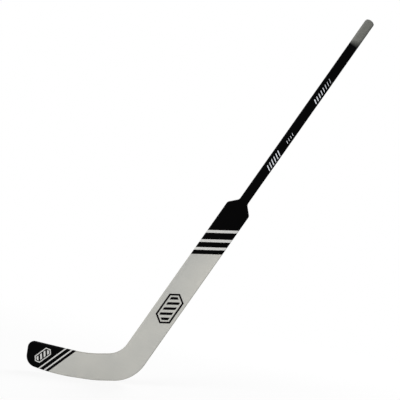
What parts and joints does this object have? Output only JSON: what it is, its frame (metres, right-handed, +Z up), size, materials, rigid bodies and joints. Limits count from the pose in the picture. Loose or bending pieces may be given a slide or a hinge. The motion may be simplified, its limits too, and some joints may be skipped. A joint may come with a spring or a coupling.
{
  "type": "hockey goalie stick",
  "caption": "Laminated wood hockey goalie stick with a narrow shaft, a wide paddle with sloping shoulders, and a curved blade for stopping pucks.",
  "frame": {"origin": "middle of the flat part of the blade's sole, in the middle plane of the shaft", "axes": "+Z up from the ice, +X along the blade from toe to heel, +Y through the thickness from the pictured face to the back, with the shaft leaning 63 degrees from the ice towards +X"},
  "size_m": [0.9923, 0.0287, 1.3218],
  "materials": {
    "painted_skin": "satin paint on fibreglass",
    "painted_edge": "satin paint on hardwood",
    "black_sleeve": "satin black",
    "grey_butt": "matte grip coat",
    "birch": "bare",
    "aspen": "bare"
  },
  "bodies": {
    "root": {"front_skin": "painted_skin", "back_skin": "painted_skin", "shaft_sleeve": "black_sleeve", "butt_sleeve": "grey_butt", "shaft_front_ply": "birch", "shaft_front_filler_ply": "aspen", "shaft_centre_ply": "birch", "shaft_back_filler_ply": "aspen", "shaft_back_ply": "birch", "paddle_toe_side_filler": "aspen", "paddle_heel_side_filler": "aspen", "paddle_toe_side_rail": "painted_edge", "paddle_heel_side_rail": "painted_edge", "toe_side_shoulder": "painted_edge", "heel_side_shoulder": "painted_edge", "blade_centre_lamina": "birch", "blade_front_cheek": "aspen", "blade_back_cheek": "aspen", "blade_top_strip": "painted_edge", "blade_toe_strip": "painted_edge", "blade_sole_strip": "painted_edge", "heel_strip": "painted_edge"}
  },
  "joints": []
}
